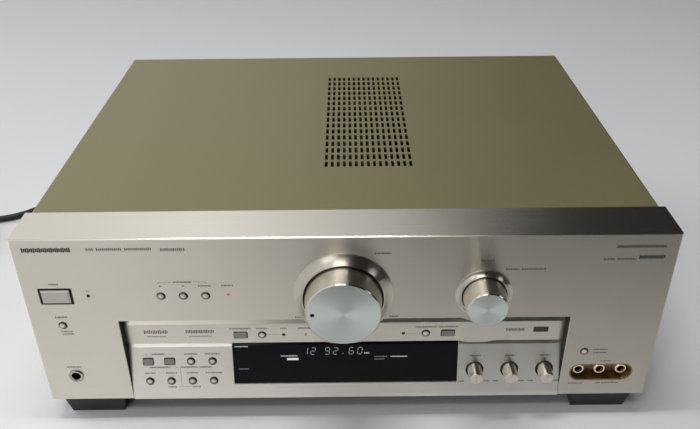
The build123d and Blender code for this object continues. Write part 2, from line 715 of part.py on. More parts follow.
def screw_places():
    """Where the screws of the cover and the rear panel sit, each turned to the way its head faces."""
    half, outside = COVER_WIDTH / 2, REAR_Y + SHEET
    places = [(half, y, 34, "x") for y in (92, 268)]
    places += [(-half, y, 34, "-x") for y in (92, 268)]
    places += [(x, COVER_REAR, 151.5, "y") for x in (-190, -63, 63, 190)]
    places += [(x, outside, 28, "y") for x in (-198, -64, 76, 198)]
    places += [(x, outside, BANK_Z + 41, "y") for x in (-96, -32, 62)]
    return [Pos(x, y, z) * TURN_Z_TO[way] for x, y, z, way in places]


def screw_holes():
    """What the screws' shanks take out of the sheet metal."""
    return [place * Cylinder(1.6, 16) for place in screw_places()]


def case_screws():
    """Pan-head screws with crossed slots."""
    head = Pos(0, 0, 0.9) * Cylinder(3.1, 1.8)
    head = fillet(head.edges().group_by(Axis.Z)[-1], 0.8)
    for turn in (0, 90):
        head -= Rot(0, 0, turn) * Pos(0, 0, 1.6) * Box(3.4, 0.7, 1.0)
    screw = head + Pos(0, 0, -3) * Cylinder(1.5, 6)
    return [place * screw for place in screw_places()]


def cord_bush():
    """The moulded strain relief, which clips in the rear panel and tapers down to the lead."""
    outside = REAR_Y + SHEET
    return turned(CORD_X, CORD_Z, [
        (0, REAR_Y - 4),
        (9, REAR_Y - 4),
        (9, REAR_Y - 0.1),
        (6.8, REAR_Y - 0.1),
        (6.8, outside),
        (9, outside),
        (9, outside + 2.5),
        (6.6, outside + 2.5),
        (4.3, outside + BUSH_REACH),
        (0, outside + BUSH_REACH),
    ])


def cord_route():
    """The lead's way from its strain relief, down to the surface and round to the coil."""
    return [
        Vector(CORD_X, REAR_Y + SHEET + BUSH_REACH, CORD_Z),
        Vector(CORD_X, 391, CORD_Z),
        Vector(-192, 418, 16),
        Vector(-222, 431, CORD_REST),
        Vector(-262, 418, CORD_REST),
        Vector(-291, 374, CORD_REST),
        Vector(-310, 324, CORD_REST),
        Vector(-341, 286, CORD_REST),
        Vector(-375, 275.5, CORD_REST),
        Vector(COIL_X, COIL_Y + 2 * CORD_RADIUS + COIL_MEAN, CORD_REST),
    ]


def corner_radii(route):
    """Each corner's radius, as large as its two runs allow, with a report of runs and turns."""
    radii = []
    for before, corner, after in zip(route, route[1:], route[2:]):
        turn = (corner - before).get_angle(after - corner)
        run = min((corner - before).length, (after - corner).length)
        radii.append(0.45 * run / math.tan(math.radians(turn) / 2))
        print(f"cord corner: run {run:.1f}, turn {turn:.1f}, radius {radii[-1]:.1f}")
    return radii


def cord_run():
    """The loose stretch of the lead, as a tube."""
    route = cord_route()
    path = FilletPolyline(*route, radius=corner_radii(route))
    start = Plane(origin=path @ 0, z_dir=path % 0)
    tube = sweep(start * Circle(CORD_RADIUS), path=path)
    length = path.length
    print(f"cord run {length:.1f} mm, volume ratio {tube.volume / (math.pi * CORD_RADIUS**2 * length):.4f}")
    print(f"cord coil {COIL_TURNS * 2 * math.pi * COIL_MEAN:.1f} mm")
    return tube


def cord_coil():
    """The outer shape of the wound-up part of the lead."""
    width, height = 2 * CORD_RADIUS * COIL_TURNS_WIDE, 2 * CORD_RADIUS * COIL_LAYERS
    base = CORD_REST - CORD_RADIUS
    outer = upright(COIL_X, COIL_Y, COIL_MEAN + width / 2, base, base + height)
    coil = outer - upright(COIL_X, COIL_Y, COIL_MEAN - width / 2, base - 1, base + height + 1)
    return fillet(coil.edges().filter_by(GeomType.CIRCLE), 2.5)


def mains_plug():
    """A moulded plug with two round pins, which lies beside the coil that its lead comes from."""
    relief = revolve(
        make_face(Polyline((0, 0), (4.0, 0), (6.4, PLUG_RELIEF + 2), (0, PLUG_RELIEF + 2), close=True)), Axis.Y
    )
    front = PLUG_RELIEF + PLUG_BODY
    body = block(-PLUG_WIDTH / 2, PLUG_WIDTH / 2, PLUG_RELIEF, front, -PLUG_HEIGHT / 2, PLUG_HEIGHT / 2)
    body = fillet(body.edges().filter_by(Axis.Y), 6)
    body = fillet(body.edges().group_by(Axis.Y)[0], 3)
    pins = [rod(side * PIN_PITCH / 2, 0, PIN_RADIUS, front - 4, front + PLUG_PIN) for side in (-1, 1)]
    plug = joined(body, relief, *pins)
    return Pos(COIL_X, COIL_Y + COIL_MEAN + 2 * CORD_RADIUS, CORD_REST + 2 * CORD_RADIUS) * Rot(0, 0, 90) * plug


def main():
    """Makes every node."""
    save("front_panel", front_panel())
    save("control_strip", control_strip())
    save("lower_fascia", lower_fascia())
    save("display_window", display_window())
    save("display_tube", display_tube())
    save("volume_ring", ring(VOLUME_X, RING_RADIUS, RING_BORE, RING_PROUD))
    save("selector_ring", selector_ring())
    save("power_bezel", power_bezel())
    save("headphone_jack", headphone_jack())
    save("jack_dish", jack_dish())
    save("front_jacks", *front_jacks())
    save("indicator_lamps", *indicator_lamps())
    save("front_board", front_board())
    save("tact_switches", *tact_switches())
    save("control_pots", *control_pots())
    save("front_frame", front_frame())
    save("chassis_tray", chassis_tray())
    save("top_cover", top_cover())
    save("feet", *feet())
    save("rear_panel", rear_panel())
    save("rear_jacks", *rear_jacks())
    save("speaker_terminals", speaker_terminals())
    save("tuner_module", tuner_module())
    save("main_board", main_board())
    save("heat_sink", heat_sink())
    save("power_transistors", *power_transistors())
    save("power_transformer", power_transformer())
    save("reservoir_capacitors", *reservoir_capacitors())
    save("case_screws", *case_screws())
    save("cord_bush", cord_bush())
    save("cord_run", cord_run())
    save("cord_coil", cord_coil())
    save("mains_plug", mains_plug())
    save("volume_knob", volume_knob())
    save("selector_knob", selector_knob())
    for name, x in zip(("bass_knob", "treble_knob", "balance_knob"), TONE_X):
        save(name, tone_knob(x))
    save("power_button", power_button())
    for name, place in BUTTONS.items():
        save(name, push_button(*place))
    for number, x in enumerate(POST_X, 1):
        save(f"post_cap_{number}", post_cap(x))


main()
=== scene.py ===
"""Stereo receiver: finishes, printed marks, display, lead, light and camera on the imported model."""

import math

import bmesh
import bpy
from mathutils import Matrix, Vector


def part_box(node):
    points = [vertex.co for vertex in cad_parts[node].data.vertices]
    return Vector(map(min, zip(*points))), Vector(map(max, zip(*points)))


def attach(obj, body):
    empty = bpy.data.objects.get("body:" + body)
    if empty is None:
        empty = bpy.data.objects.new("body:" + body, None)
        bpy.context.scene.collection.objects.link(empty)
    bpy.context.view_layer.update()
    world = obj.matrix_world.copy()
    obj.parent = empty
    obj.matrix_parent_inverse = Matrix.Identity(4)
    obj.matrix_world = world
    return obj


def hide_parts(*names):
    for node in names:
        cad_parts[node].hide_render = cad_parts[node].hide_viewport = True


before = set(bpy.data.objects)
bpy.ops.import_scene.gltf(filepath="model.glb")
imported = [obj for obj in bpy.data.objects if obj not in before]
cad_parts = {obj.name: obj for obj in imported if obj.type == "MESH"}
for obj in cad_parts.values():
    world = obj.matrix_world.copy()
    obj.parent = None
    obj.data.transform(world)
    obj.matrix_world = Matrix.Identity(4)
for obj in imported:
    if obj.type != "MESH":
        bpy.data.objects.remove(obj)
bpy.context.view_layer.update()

MM = 0.001
FACE_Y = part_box("front_panel")[0].y
CENTRE_X = (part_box("display_window")[0].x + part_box("display_window")[1].x) / 2
HALF_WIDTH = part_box("front_panel")[1].x
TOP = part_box("front_panel")[1].z

# The front faces behind the fascia's own, in millimetres: the strip's depth, height and bevel, and the
# sloping part's foot and head
STRIP_DEPTH, STRIP_TOP, STRIP_BEVEL = 8.0, 81.3, (2.0, 3.0)
LOWER_FOOT_Z, LOWER_HEAD_Y, LOWER_HEAD_Z = 22.0, 8.2, 61.0
LOWER_SLOPE = LOWER_HEAD_Y / (LOWER_HEAD_Z - LOWER_FOOT_Z)
LOWER_BEVEL_SLOPE = 0.47


def middle(node):
    """The middle of a CAD node's box."""
    low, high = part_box(node)
    return (Vector(low) + Vector(high)) / 2


# ---------------------------------------------------------------- shader helpers


class Graph:
    """A material's node tree, with short calls for the nodes that the finishes share."""

    def __init__(self, name):
        self.material = bpy.data.materials.new(name)
        self.material.use_nodes = True
        self.tree = self.material.node_tree
        self.shader = self.tree.nodes["Principled BSDF"]
        self.place = self.add("ShaderNodeTexCoord").outputs["Object"]

    def add(self, kind, inputs=None, **settings):
        """A node with its settings, and its inputs linked or set."""
        node = self.tree.nodes.new(kind)
        for key, value in settings.items():
            setattr(node, key, value)
        for key, value in (inputs or {}).items():
            self.feed(node.inputs[key], value)
        return node

    def feed(self, socket, value):
        """Links an output to a socket, or sets a constant."""
        if isinstance(value, bpy.types.NodeSocket):
            self.tree.links.new(value, socket)
        else:
            socket.default_value = value

    def set(self, **inputs):
        """Feeds the main shader's sockets, named with underscores for spaces."""
        for key, value in inputs.items():
            self.feed(self.shader.inputs[key.replace("_", " ")], value)

    def math(self, operation, *values, clamp=False):
        """One step of arithmetic."""
        node = self.add("ShaderNodeMath", operation=operation, use_clamp=clamp)
        for socket, value in zip(node.inputs, values):
            self.feed(socket, value)
        return node.outputs[0]

    def vector(self, operation, *values):
        """One step of vector arithmetic."""
        node = self.add("ShaderNodeVectorMath", operation=operation)
        for socket, value in zip(node.inputs, values):
            self.feed(socket, value)
        return node.outputs["Value"] if operation in ("LENGTH", "DOT_PRODUCT") else node.outputs[0]

    def axes(self):
        """The x, y and z of the surface point."""
        return self.add("ShaderNodeSeparateXYZ", {"Vector": self.place}).outputs

    def millimetres(self):
        """The surface point's x and z, and its depth behind the fascia's face, in millimetres."""
        px, py, pz = self.axes()
        depth = self.math("SUBTRACT", py, FACE_Y)
        return [self.math("DIVIDE", value, MM) for value in (px, pz, depth)]

    def noise(self, scale, stretch=(1, 1, 1), detail=3.0, source=None):
        """Noise, stretched along the axes, from 0 to 1."""
        place = self.vector("MULTIPLY", source or self.place, stretch)
        node = self.add("ShaderNodeTexNoise", {"Vector": place, "Scale": scale, "Detail": detail})
        return node.outputs["Fac"]

    def spread(self, value, low, high):
        """A 0 to 1 value carried to a range."""
        return self.add("ShaderNodeMapRange", {"Value": value, "To Min": low, "To Max": high}).outputs[0]

    def mix(self, factor, first, second):
        """A blend of two colours."""
        node = self.add("ShaderNodeMix", data_type="RGBA")
        self.feed(node.inputs["Factor"], factor)
        self.feed(node.inputs[6], first)
        self.feed(node.inputs[7], second)
        return node.outputs[2]

    def tinted(self, factor, colour, depth):
        """A colour that gets darker and lighter by depth as the factor runs from 0 to 1."""
        dark = [c * (1 - depth) for c in colour[:3]] + [1]
        light = [min(1, c * (1 + depth)) for c in colour[:3]] + [1]
        return self.mix(factor, dark, light)

    def bump(self, height, strength, distance=0.0001):
        """Puts a height on the main shader's normal."""
        node = self.add("ShaderNodeBump", {"Height": height, "Strength": strength, "Distance": distance})
        self.set(Normal=node.outputs[0])

    def near_axis(self, x, z, radius, blur=0.0002):
        """1 inside a radius of an axis along Y, 0 outside it."""
        px, _, pz = self.axes()
        away = self.math("SQRT", self.math(
            "ADD",
            self.math("POWER", self.math("SUBTRACT", px, x), 2.0),
            self.math("POWER", self.math("SUBTRACT", pz, z), 2.0),
        ))
        return self.math("DIVIDE", self.math("SUBTRACT", radius, away), blur, clamp=True)


# ---------------------------------------------------------------- finishes


# Painted shade: the near-black colour put on the walls inside the front faces' holes
PAINTED_HOLE_SHADE = (0.015, 0.013, 0.010, 1)
FINER_ON_TOP = 0.17


def painted_hole_shade_mask(g, face):
    """Mask for painted shade: 1 behind a front face, such as on the walls of its holes, and 0 on the face and
    its bevel.
    """
    x, z, depth = g.millimetres()
    if face == "strip":
        rise = g.math("DIVIDE", g.math("SUBTRACT", z, STRIP_TOP), STRIP_BEVEL[1], clamp=True)
        level = g.math("ADD", STRIP_DEPTH, g.math("MULTIPLY", rise, STRIP_BEVEL[0]))
        return g.math("SUBTRACT", depth, g.math("ADD", level, 0.5), clamp=True)
    if face == "lower":
        slope = g.math("MULTIPLY", g.math("SUBTRACT", z, LOWER_FOOT_Z), LOWER_SLOPE)
        bevel = g.math("MULTIPLY", g.math("SUBTRACT", z, LOWER_HEAD_Z), LOWER_BEVEL_SLOPE)
        level = g.math("ADD", g.math("MAXIMUM", slope, 0.0), g.math("MAXIMUM", bevel, 0.0))
        return g.math("SUBTRACT", depth, g.math("ADD", level, 0.5), clamp=True)
    deep = g.math("MULTIPLY", g.math("SUBTRACT", depth, 0.9), 3.0, clamp=True)
    below_top = g.math("MULTIPLY", g.math("SUBTRACT", TOP / MM - 0.4, z), 5.0, clamp=True)
    end = g.math("SUBTRACT", HALF_WIDTH / MM - 0.4, g.math("ABSOLUTE", x))
    return g.math("MULTIPLY", deep, g.math("MULTIPLY", below_top, g.math("MULTIPLY", end, 5.0, clamp=True)))


def brushed(name, colour, roughness=0.3, depth=0.05, anisotropy=0.75, grain=(1, 0, 0), face=None):
    """Satin aluminium with a straight grain, and painted shade, dark, dull and not metallic, on the walls
    inside the holes of a front face.
    """
    g = Graph(name)
    across = [9000 if axis == 0 else 12 for axis in grain]
    fine = g.noise(1.0, across, 4.0)
    coarse = g.noise(1.0, [value / 7 for value in across], 2.0)
    cloud = g.noise(14.0)
    streak = g.math("ADD", g.math("MULTIPLY", fine, 0.6), g.math("MULTIPLY", coarse, 0.4))
    tint = g.tinted(streak, colour, depth)
    metallic = 1.0
    satin = g.spread(
        g.math("ADD", g.math("MULTIPLY", streak, 0.6), g.math("MULTIPLY", cloud, 0.4)),
        roughness - 0.05,
        roughness + 0.07,
    )
    if face == "fascia":
        on_top = g.math("MULTIPLY", g.math("SUBTRACT", g.millimetres()[1], TOP / MM - 0.5), 5.0, clamp=True)
        satin = g.math("SUBTRACT", satin, g.math("MULTIPLY", on_top, FINER_ON_TOP))
    if face:
        # Painted shade on the walls inside the holes: darker, not metallic and duller
        hole_wall_shade = painted_hole_shade_mask(g, face)
        tint = g.mix(hole_wall_shade, tint, PAINTED_HOLE_SHADE)
        metallic = g.math("SUBTRACT", 1.0, hole_wall_shade)
        satin = g.math("MAXIMUM", satin, g.math("MULTIPLY", hole_wall_shade, 0.8))
    g.set(
        Base_Color=tint,
        Metallic=metallic,
        Roughness=satin,
        Anisotropic=anisotropy,
        Anisotropic_Rotation=0.25,
        Tangent=g.add("ShaderNodeCombineXYZ", {"X": grain[0], "Y": grain[1], "Z": grain[2]}).outputs[0],
    )
    g.bump(streak, 0.10, 0.00004)
    return g.material


def spun(name, colour, x, z, roughness=0.30, depth=0.06, anisotropy=0.85, face=None, dot=None):
    """Aluminium turned about an axis along Y, with fine rings.

    face is a depth in metres and the colour in front of it. dot is the x, z and radius of a dark dot.
    """
    g = Graph(name)
    px, py, pz = g.axes()
    out_x = g.math("SUBTRACT", px, x)
    out_z = g.math("SUBTRACT", pz, z)
    radial = g.add("ShaderNodeCombineXYZ", {"X": out_x, "Z": out_z}).outputs[0]
    around = g.add("ShaderNodeCombineXYZ", {"X": out_z, "Z": g.math("MULTIPLY", out_x, -1.0)}).outputs[0]
    world = g.add("ShaderNodeVectorTransform", {"Vector": around}, convert_from="OBJECT", convert_to="WORLD")
    turned = g.add("ShaderNodeCombineXYZ", {"X": g.vector("LENGTH", radial), "Y": py})
    rings = g.noise(9000.0, source=turned.outputs[0])
    tint = g.tinted(rings, colour, depth)
    if face:
        face_y, face_colour = face
        front = g.math("DIVIDE", g.math("SUBTRACT", face_y, py), 0.0001, clamp=True)
        tint = g.mix(front, tint, g.tinted(rings, face_colour, depth))
    if dot:
        tint = g.mix(g.near_axis(*dot), tint, (0.01, 0.01, 0.01, 1))
    g.set(
        Base_Color=tint,
        Metallic=1.0,
        Roughness=g.spread(rings, roughness - 0.05, roughness + 0.06),
        Anisotropic=anisotropy,
        Anisotropic_Rotation=0.25,
        Tangent=world.outputs[0],
    )
    g.bump(rings, 0.05, 0.00004)
    return g.material


def painted(name, colour, roughness=0.38, metallic=0.0, flake=0.08, texture=900.0, bump=0.06):
    """Sprayed paint with a fine orange peel, a little cloudy."""
    g = Graph(name)
    cloud = g.noise(9.0, detail=4.0)
    peel = g.noise(texture, detail=2.0)
    uneven = g.math("ADD", g.math("MULTIPLY", cloud, 0.5), g.math("MULTIPLY", peel, 0.5))
    g.set(
        Base_Color=g.tinted(uneven, colour, flake),
        Metallic=metallic,
        Roughness=g.spread(cloud, roughness - 0.04, roughness + 0.05),
    )
    g.bump(peel, bump, 0.00005)
    return g.material


def moulded(name, colour, roughness=0.5, texture=1400.0, bump=0.15):
    """Moulded plastic or rubber with a spark-eroded grain."""
    g = Graph(name)
    grain = g.noise(texture, detail=3.0)
    dust = g.noise(30.0, detail=5.0)
    g.set(
        Base_Color=g.tinted(dust, colour, 0.18),
        Roughness=g.spread(dust, roughness - 0.08, roughness + 0.1),
        Specular_IOR_Level=0.4,
    )
    g.bump(grain, bump, 0.00006)
    return g.material


def polished(name, colour, roughness=0.12, cores=()):
    """Plated metal with light handling marks. cores are (x, z, radius) of dark middles, in metres."""
    g = Graph(name)
    marks = g.noise(220.0, (1, 3, 1), 5.0)
    tint = g.tinted(marks, colour, 0.05)
    for core in cores:
        tint = g.mix(g.near_axis(*core), tint, (0.012, 0.011, 0.010, 1))
    g.set(
        Base_Color=tint,
        Metallic=1.0,
        Roughness=g.spread(marks, roughness - 0.04, roughness + 0.12),
    )
    g.bump(marks, 0.03, 0.00003)
    return g.material


def acrylic():
    """The dark window: glossy, with faint wipe marks."""
    g = Graph("dark_acrylic")
    wipes = g.noise(60.0, (1, 1, 6), 4.0)
    g.set(
        Base_Color=g.tinted(wipes, (0.006, 0.005, 0.007), 0.3),
        Roughness=g.spread(wipes, 0.08, 0.2),
        Specular_IOR_Level=0.1,
    )
    return g.material


def glowing(name, colour, strength):
    """A lit lamp or display segment, a little uneven."""
    g = Graph(name)
    uneven = g.noise(700.0)
    g.set(
        Base_Color=[c * 0.4 for c in colour] + [1],
        Emission_Color=g.tinted(uneven, colour, 0.12),
        Emission_Strength=strength,
        Roughness=g.spread(uneven, 0.3, 0.45),
    )
    return g.material


# Middles of the two lamps that are on, as x and z in metres
RED_LAMP = (-78.5 * MM, 113.2 * MM)
YELLOW_LAMP = (CENTRE_X - 27.5 * MM, 71.5 * MM)
LAMP_RADIUS = 1.3 * MM


def lamp_finish():
    """The light pipes: one lit red, one faintly yellow, the others dark."""
    g = Graph("lamp_lens")
    smoke = g.noise(400.0)
    red = g.near_axis(*RED_LAMP, LAMP_RADIUS)
    yellow = g.near_axis(*YELLOW_LAMP, LAMP_RADIUS)
    glow = g.mix(yellow, (0, 0, 0, 1), (0.20, 0.21, 0.04, 1))
    g.set(
        Base_Color=g.tinted(smoke, (0.03, 0.012, 0.010), 0.3),
        Emission_Color=g.mix(red, glow, (0.75, 0.03, 0.02, 1)),
        Emission_Strength=1.0,
        Roughness=g.spread(smoke, 0.15, 0.25),
    )
    return g.material


def cap_with_painted_shade(node):
    """A round satin cap with a painted highlight in the middle, set a little up and to the left, and painted
    shade towards its rim.
    """
    centre = middle(node)
    g = Graph(node + "_metal")
    grain = g.noise(1.0, (12, 9000, 9000), 4.0)
    # Painted highlight and painted shade: a bright crown a little up and left of the middle, and a near-black
    # rim round it
    painted_highlight_crown = g.near_axis(centre.x - 0.3 * MM, centre.z + 0.2 * MM, 2.6 * MM, 1.7 * MM)
    g.set(
        Base_Color=g.mix(painted_highlight_crown, (0.060, 0.055, 0.048, 1), g.tinted(grain, BUTTON_GREY, 0.06)),
        Metallic=1.0,
        Roughness=g.spread(grain, 0.26, 0.36),
    )
    g.bump(grain, 0.08, 0.00003)
    return g.material


def phono_finish():
    """The rear sockets: nickel shells on collars, red along the middle row and white on the others."""
    g = Graph("phono_socket")
    _, z, depth = g.millimetres()
    panel = (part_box("rear_panel")[1].y - FACE_Y) / MM
    middle_z = middle("rear_jacks").z / MM
    from_middle = g.math("ABSOLUTE", g.math("SUBTRACT", z, middle_z))
    red_row = g.math("MULTIPLY", g.math("SUBTRACT", 13.0, from_middle), 20.0, clamp=True)
    shell = g.math("MULTIPLY", g.math("SUBTRACT", depth, panel + 0.9), 20.0, clamp=True)
    dust = g.noise(60.0)
    white = g.tinted(dust, (0.62, 0.60, 0.56), 0.08)
    red = g.tinted(dust, (0.35, 0.02, 0.015), 0.15)
    collar = g.mix(red_row, white, red)
    g.set(
        Base_Color=g.mix(shell, collar, g.tinted(dust, (0.72, 0.70, 0.66), 0.06)),
        Metallic=shell,
        Roughness=g.spread(dust, 0.2, 0.34),
    )
    g.bump(dust, 0.05, 0.00003)
    return g.material


def board_finish():
    """A printed board: lacquer over copper tracks."""
    g = Graph("printed_board")
    bricks = g.add("ShaderNodeTexBrick", {"Vector": g.place, "Scale": 90.0, "Mortar Size": 0.05})
    tracks = bricks.outputs["Fac"]
    cloud = g.noise(20.0)
    g.set(
        Base_Color=g.mix(tracks, g.tinted(cloud, (0.05, 0.13, 0.05), 0.2), (0.10, 0.22, 0.07, 1)),
        Roughness=g.spread(cloud, 0.35, 0.5),
    )
    g.bump(tracks, 0.2, 0.00005)
    return g.material


def wear(node, finish):
    """Gives a CAD node a finish."""
    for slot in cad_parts[node].material_slots:
        slot.material = finish


# ---------------------------------------------------------------- the object's finishes

# Each large knob's pointer dot, in millimetres from its axis: x, z and radius
KNOB_DOTS = (("volume", -20.0, 0.0, 1.5), ("selector", 0.0, 17.2, 0.9))
JACK_PITCH, JACK_CORE = 15.2, 2.85
CHAMPAGNE = (0.80, 0.755, 0.665)
PALE = (0.83, 0.80, 0.74)
RING = (0.56, 0.52, 0.45)
KNOB_SIDE = (0.65, 0.61, 0.54)
KNOB_FACE = (0.56, 0.60, 0.56)
BUTTON_GREY = (0.70, 0.67, 0.61)
KEY_GREY = (0.27, 0.26, 0.24)
POWER_GREY = (0.56, 0.53, 0.48)
KEYS = ("record_input_button", "digital_input_button", "tuning_down_button", "tuning_up_button")
OLIVE = (0.245, 0.217, 0.115)


def dress_front():
    """Fascia, strip, rings, knobs and buttons."""
    wear("front_panel", brushed("fascia_metal", CHAMPAGNE, 0.42, 0.05, 0.9, face="fascia"))
    wear("control_strip", brushed("strip_metal", CHAMPAGNE, 0.36, 0.05, 0.85, face="strip"))
    wear("lower_fascia", brushed("lower_metal", PALE, 0.36, 0.05, 0.85, face="lower"))
    wear("display_window", acrylic())
    wear("display_tube", moulded("display_glass", (0.02, 0.03, 0.03), 0.2))
    for name, dot_x, dot_z, dot_radius in KNOB_DOTS:
        ring, knob = name + "_ring", name + "_knob"
        centre = middle(ring)
        dot = (centre.x + dot_x * MM, centre.z + dot_z * MM, dot_radius * MM)
        front = (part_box(knob)[0].y + 0.5 * MM, KNOB_FACE)
        ring_metal = spun(ring + "_metal", RING, centre.x, centre.z, 0.29, 0.06, 0.8, dot=dot)
        knob_metal = spun(
            knob + "_metal", KNOB_SIDE, centre.x, centre.z, 0.22, 0.05, 0.93, face=front, dot=dot,
        )
        wear(ring, ring_metal)
        wear(knob, knob_metal)
    for knob in ("bass_knob", "treble_knob", "balance_knob"):
        centre = middle(knob)
        wear(knob, spun(knob + "_metal", KNOB_SIDE, centre.x, centre.z))
    oblong = dict.fromkeys(KEYS, brushed("key_metal", KEY_GREY, 0.3))
    oblong["power_button"] = brushed("power_metal", POWER_GREY, 0.34)
    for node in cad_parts:
        if node.endswith("_button"):
            wear(node, oblong[node] if node in oblong else cap_with_painted_shade(node))


def dress_sockets():
    """Headphone socket, the dish and its three jacks, and the lamps."""
    wear("headphone_jack", polished("nickel_plate", (0.47, 0.42, 0.34)))
    wear("jack_dish", brushed("dish_metal", (0.33, 0.24, 0.12), 0.35))
    dish = middle("jack_dish")
    cores = [(dish.x + step * JACK_PITCH * MM, dish.z, JACK_CORE * MM) for step in (-1, 0, 1)]
    wear("front_jacks", polished("gold_plate", (0.86, 0.74, 0.52), 0.2, cores))
    wear("power_bezel", moulded("bezel_plastic", (0.012, 0.011, 0.010), 0.4))
    wear("indicator_lamps", lamp_finish())


def dress_case():
    """Cover, tray, feet, rear panel and screws."""
    wear("top_cover", painted("cover_paint", OLIVE, 0.42, 0.55))
    wear("chassis_tray", painted("tray_zinc", (0.22, 0.22, 0.21), 0.4, 0.9))
    wear("rear_panel", painted("rear_paint", (0.014, 0.014, 0.015), 0.5))
    wear("feet", moulded("foot_plastic", (0.018, 0.018, 0.019), 0.45))
    wear("front_frame", moulded("frame_plastic", (0.012, 0.012, 0.012), 0.6))
    wear("case_screws", polished("screw_plate", (0.45, 0.44, 0.42), 0.2))
    wear("rear_jacks", phono_finish())
    wear("speaker_terminals", moulded("terminal_plastic", (0.015, 0.015, 0.016), 0.4))
    red = moulded("red_cap", (0.42, 0.015, 0.012), 0.25, bump=0.05)
    black = moulded("black_cap", (0.012, 0.012, 0.012), 0.25, bump=0.05)
    for number in range(1, 5):
        wear(f"post_cap_{number}", red if number % 2 else black)


def dress_inside():
    """What shows dimly through the vents."""
    wear("front_board", board_finish())
    wear("main_board", board_finish())
    wear("heat_sink", painted("black_anodised", (0.010, 0.010, 0.011), 0.45))
    wear("power_transistors", moulded("transistor_epoxy", (0.015, 0.015, 0.015), 0.5))
    wear("power_transformer", painted("transformer_varnish", (0.06, 0.045, 0.03), 0.5))
    wear("reservoir_capacitors", moulded("capacitor_sleeve", (0.02, 0.03, 0.08), 0.25))
    wear("tuner_module", polished("tinned_steel", (0.55, 0.55, 0.53), 0.3))
    wear("control_pots", polished("pot_zinc", (0.50, 0.50, 0.48), 0.3))
    wear("tact_switches", moulded("switch_plastic", (0.02, 0.02, 0.02), 0.5))


# ---------------------------------------------------------------- printed marks and display


def face_depth(face, z):
    """Depth, in millimetres behind the fascia's face, of one of the three front faces at height z."""
    if face == "strip":
        return STRIP_DEPTH
    if face == "lower":
        return max(0.0, (z - LOWER_FOOT_Z) * LOWER_SLOPE)
    return 0.0


class Marks:
    """Thin printed shapes that lie on a front face, gathered in one mesh."""

    def __init__(self, name, lift=0.05):
        self.name = name
        self.lift = lift
        self.mesh = bmesh.new()

    def point(self, face, x, z):
        """A point just off a face, in metres. x is from the middle of the fascia and z from the floor."""
        depth = face_depth(face, z) - self.lift
        return self.mesh.verts.new((x * MM, FACE_Y + depth * MM, z * MM))

    def patch(self, face, corners):
        """A flat polygon."""
        self.mesh.faces.new([self.point(face, x, z) for x, z in corners])

    def bar(self, face, x, z, width, height):
        """An upright rectangle about its middle."""
        w, h = width / 2, height / 2
        self.patch(face, [(x - w, z - h), (x + w, z - h), (x + w, z + h), (x - w, z + h)])

    def line(self, face, start, end, width=0.25):
        """A straight line from start to end."""
        (x0, z0), (x1, z1) = start, end
        length = math.hypot(x1 - x0, z1 - z0)
        nx, nz = -(z1 - z0) / length * width / 2, (x1 - x0) / length * width / 2
        self.patch(face, [(x0 - nx, z0 - nz), (x1 - nx, z1 - nz), (x1 + nx, z1 + nz), (x0 + nx, z0 + nz)])

    def ticks(self, face, x, z, widths, height=1.2, pitch=0.85, cover=0.58):
        """Rows of fine upright strokes, centred on x, that stand where a caption would be."""
        gap = 1.3 * pitch
        at = x - (sum(widths) + gap * (len(widths) - 1)) / 2
        for width in widths:
            count = max(2, round(width / pitch))
            for i in range(count):
                tall = height * (1.0, 0.72, 0.88)[i % 3]
                self.bar(face, at + (i + 0.5) * width / count, z, pitch * cover, tall)
            at += width + gap

    def piece(self, finish):
        """The finished piece, riding on the case."""
        data = bpy.data.meshes.new(self.name)
        self.mesh.to_mesh(data)
        self.mesh.free()
        obj = bpy.data.objects.new(self.name, data)
        bpy.context.collection.objects.link(obj)
        data.materials.append(finish)
        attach(obj, "chassis")
        return obj


def ink(name, colour, roughness=0.6):
    """Screen-printed ink, slightly broken at its edges."""
    g = Graph(name)
    broken = g.noise(2500.0)
    g.set(Base_Color=g.tinted(broken, colour, 0.2), Roughness=g.spread(broken, roughness, roughness + 0.1))
    return g.material


SEGMENTS = {"0": "abcdef", "1": "bc", "2": "abged", "6": "afgedc", "9": "abcdfg"}


def digit(marks, figure, x, z, width=3.0, height=5.2, stroke=0.38, slant=0.12):
    """A seven-segment figure that leans to the right, with its lower left corner at x, z."""
    half = height / 2
    ends = {
        "a": ((0, height), (width, height)),
        "b": ((width, height), (width, half)),
        "c": ((width, half), (width, 0)),
        "d": ((0, 0), (width, 0)),
        "e": ((0, half), (0, 0)),
        "f": ((0, height), (0, half)),
        "g": ((0, half), (width, half)),
    }
    for segment in SEGMENTS[figure]:
        (x0, z0), (x1, z1) = ends[segment]
        trim = 0.35 / math.hypot(x1 - x0, z1 - z0)
        x0, z0, x1, z1 = (
            x0 + (x1 - x0) * trim, z0 + (z1 - z0) * trim, x1 - (x1 - x0) * trim, z1 - (z1 - z0) * trim,
        )
        marks.line("lower", (x + x0 + slant * z0, z + z0), (x + x1 + slant * z1, z + z1), stroke)


def display_figures():
    """A station number and a frequency in lit segments, just in front of the window."""
    marks = Marks("display_figures", lift=-0.7)
    for figure, x in zip("12", (-31.5, -26.0)):
        digit(marks, figure, x, 53.5)
    for figure, x in zip("9260", (-15.8, -10.0, 1.2, 7.3)):
        digit(marks, figure, x, 53.5)
    marks.bar("lower", -3.0, 53.9, 0.6, 0.6)
    return marks.piece(glowing("figure_glow", (0.62, 0.70, 0.80), 0.34))


def display_bars():
    """The lit bars that stand where the display has words."""
    marks = Marks("display_bars", lift=-0.7)
    marks.bar("lower", -38.9, 50.0, 8.2, 1.7)
    marks.ticks("lower", -41.4, 52.5, (12.0,), 0.9, 0.7)
    marks.ticks("lower", 14.0, 54.3, (3.8,), 1.1, 0.7)
    marks.ticks("lower", 37.0, 51.3, (12.0,), 0.9, 0.7)
    marks.ticks("lower", -75.2, 60.2, (9.4,), 0.9, 0.7)
    return marks.piece(glowing("bar_glow", (0.78, 0.82, 0.86), 0.62))


